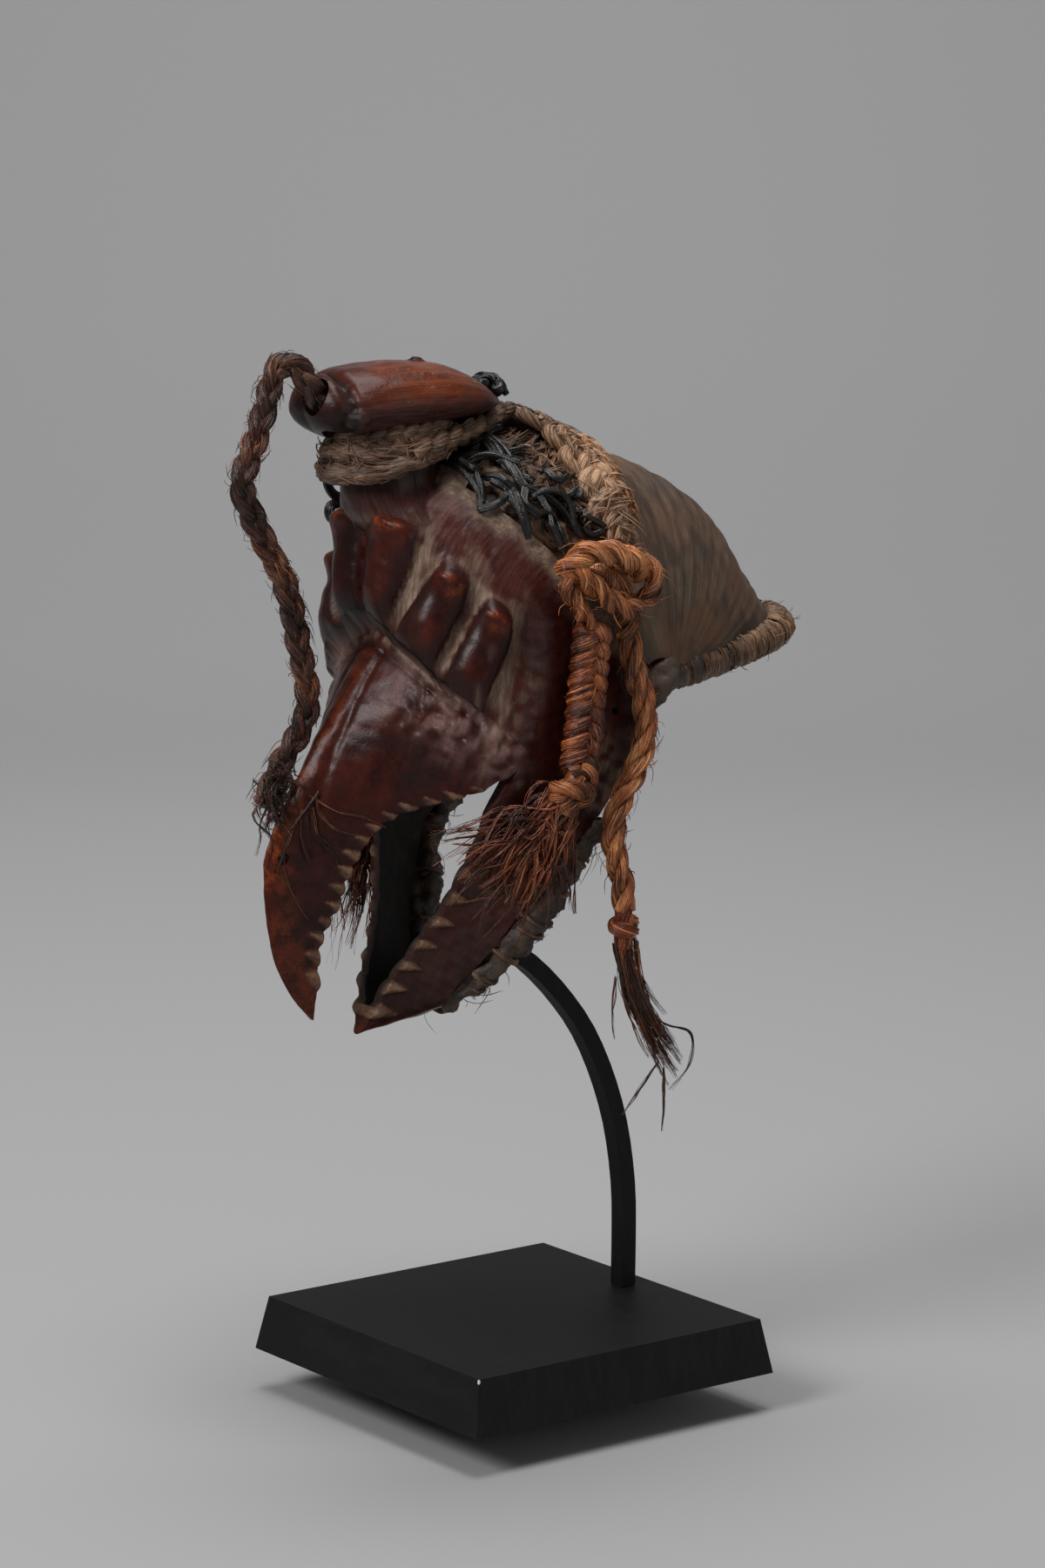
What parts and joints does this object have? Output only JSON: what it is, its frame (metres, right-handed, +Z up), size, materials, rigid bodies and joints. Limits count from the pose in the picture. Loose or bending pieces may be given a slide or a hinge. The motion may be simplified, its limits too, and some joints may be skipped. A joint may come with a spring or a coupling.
{
  "type": "bird mask",
  "caption": "Carved wooden bird mask with a casque, an open toothed beak and a woven hood, hung with raffia ropes, on a black rod stand with a square foot.",
  "frame": {"origin": "centre of the stand foot's underside", "axes": "+Z up; the mask faces -Y; its own left side is +X; its middle plane is X = 0"},
  "size_m": [0.2, 0.3552, 0.5469],
  "materials": {
    "stand_black": "matt black",
    "carved_wood": "dusty brown wood, glossy oxblood on the beak",
    "woven_fibre": "grey-brown stiff woven fibre",
    "wrapped_fibre": "tan fibre wrapping",
    "plaited_fibre": "dusty grey-tan plaited fibre",
    "dark_vine": "glossy black-grey vine",
    "dark_leather": "dark hide with brown fibre ties",
    "dark_raffia": "dark red-brown raffia",
    "raffia": "russet raffia"
  },
  "bodies": {
    "root": {"stand_base": "stand_black", "stand_rod": "stand_black", "carved_mask": "carved_wood", "hood": "woven_fibre", "hood_rim": "wrapped_fibre", "crest_collar": "plaited_fibre", "seam_plait": "plaited_fibre", "crown_knot": "dark_vine", "jaw_binding": "dark_leather", "front_rope": "dark_raffia", "left_lacing": "dark_vine", "left_knot": "raffia", "left_braid": "raffia", "left_braid_knot": "raffia", "left_braid_tassel": "raffia", "left_cord": "raffia", "left_cord_knot": "raffia", "left_cord_tassel": "raffia", "right_lacing": "dark_vine", "right_knot": "raffia", "right_braid": "raffia", "right_braid_knot": "raffia", "right_braid_tassel": "raffia", "right_cord": "raffia", "right_cord_knot": "raffia", "right_cord_tassel": "raffia"}
  },
  "joints": []
}
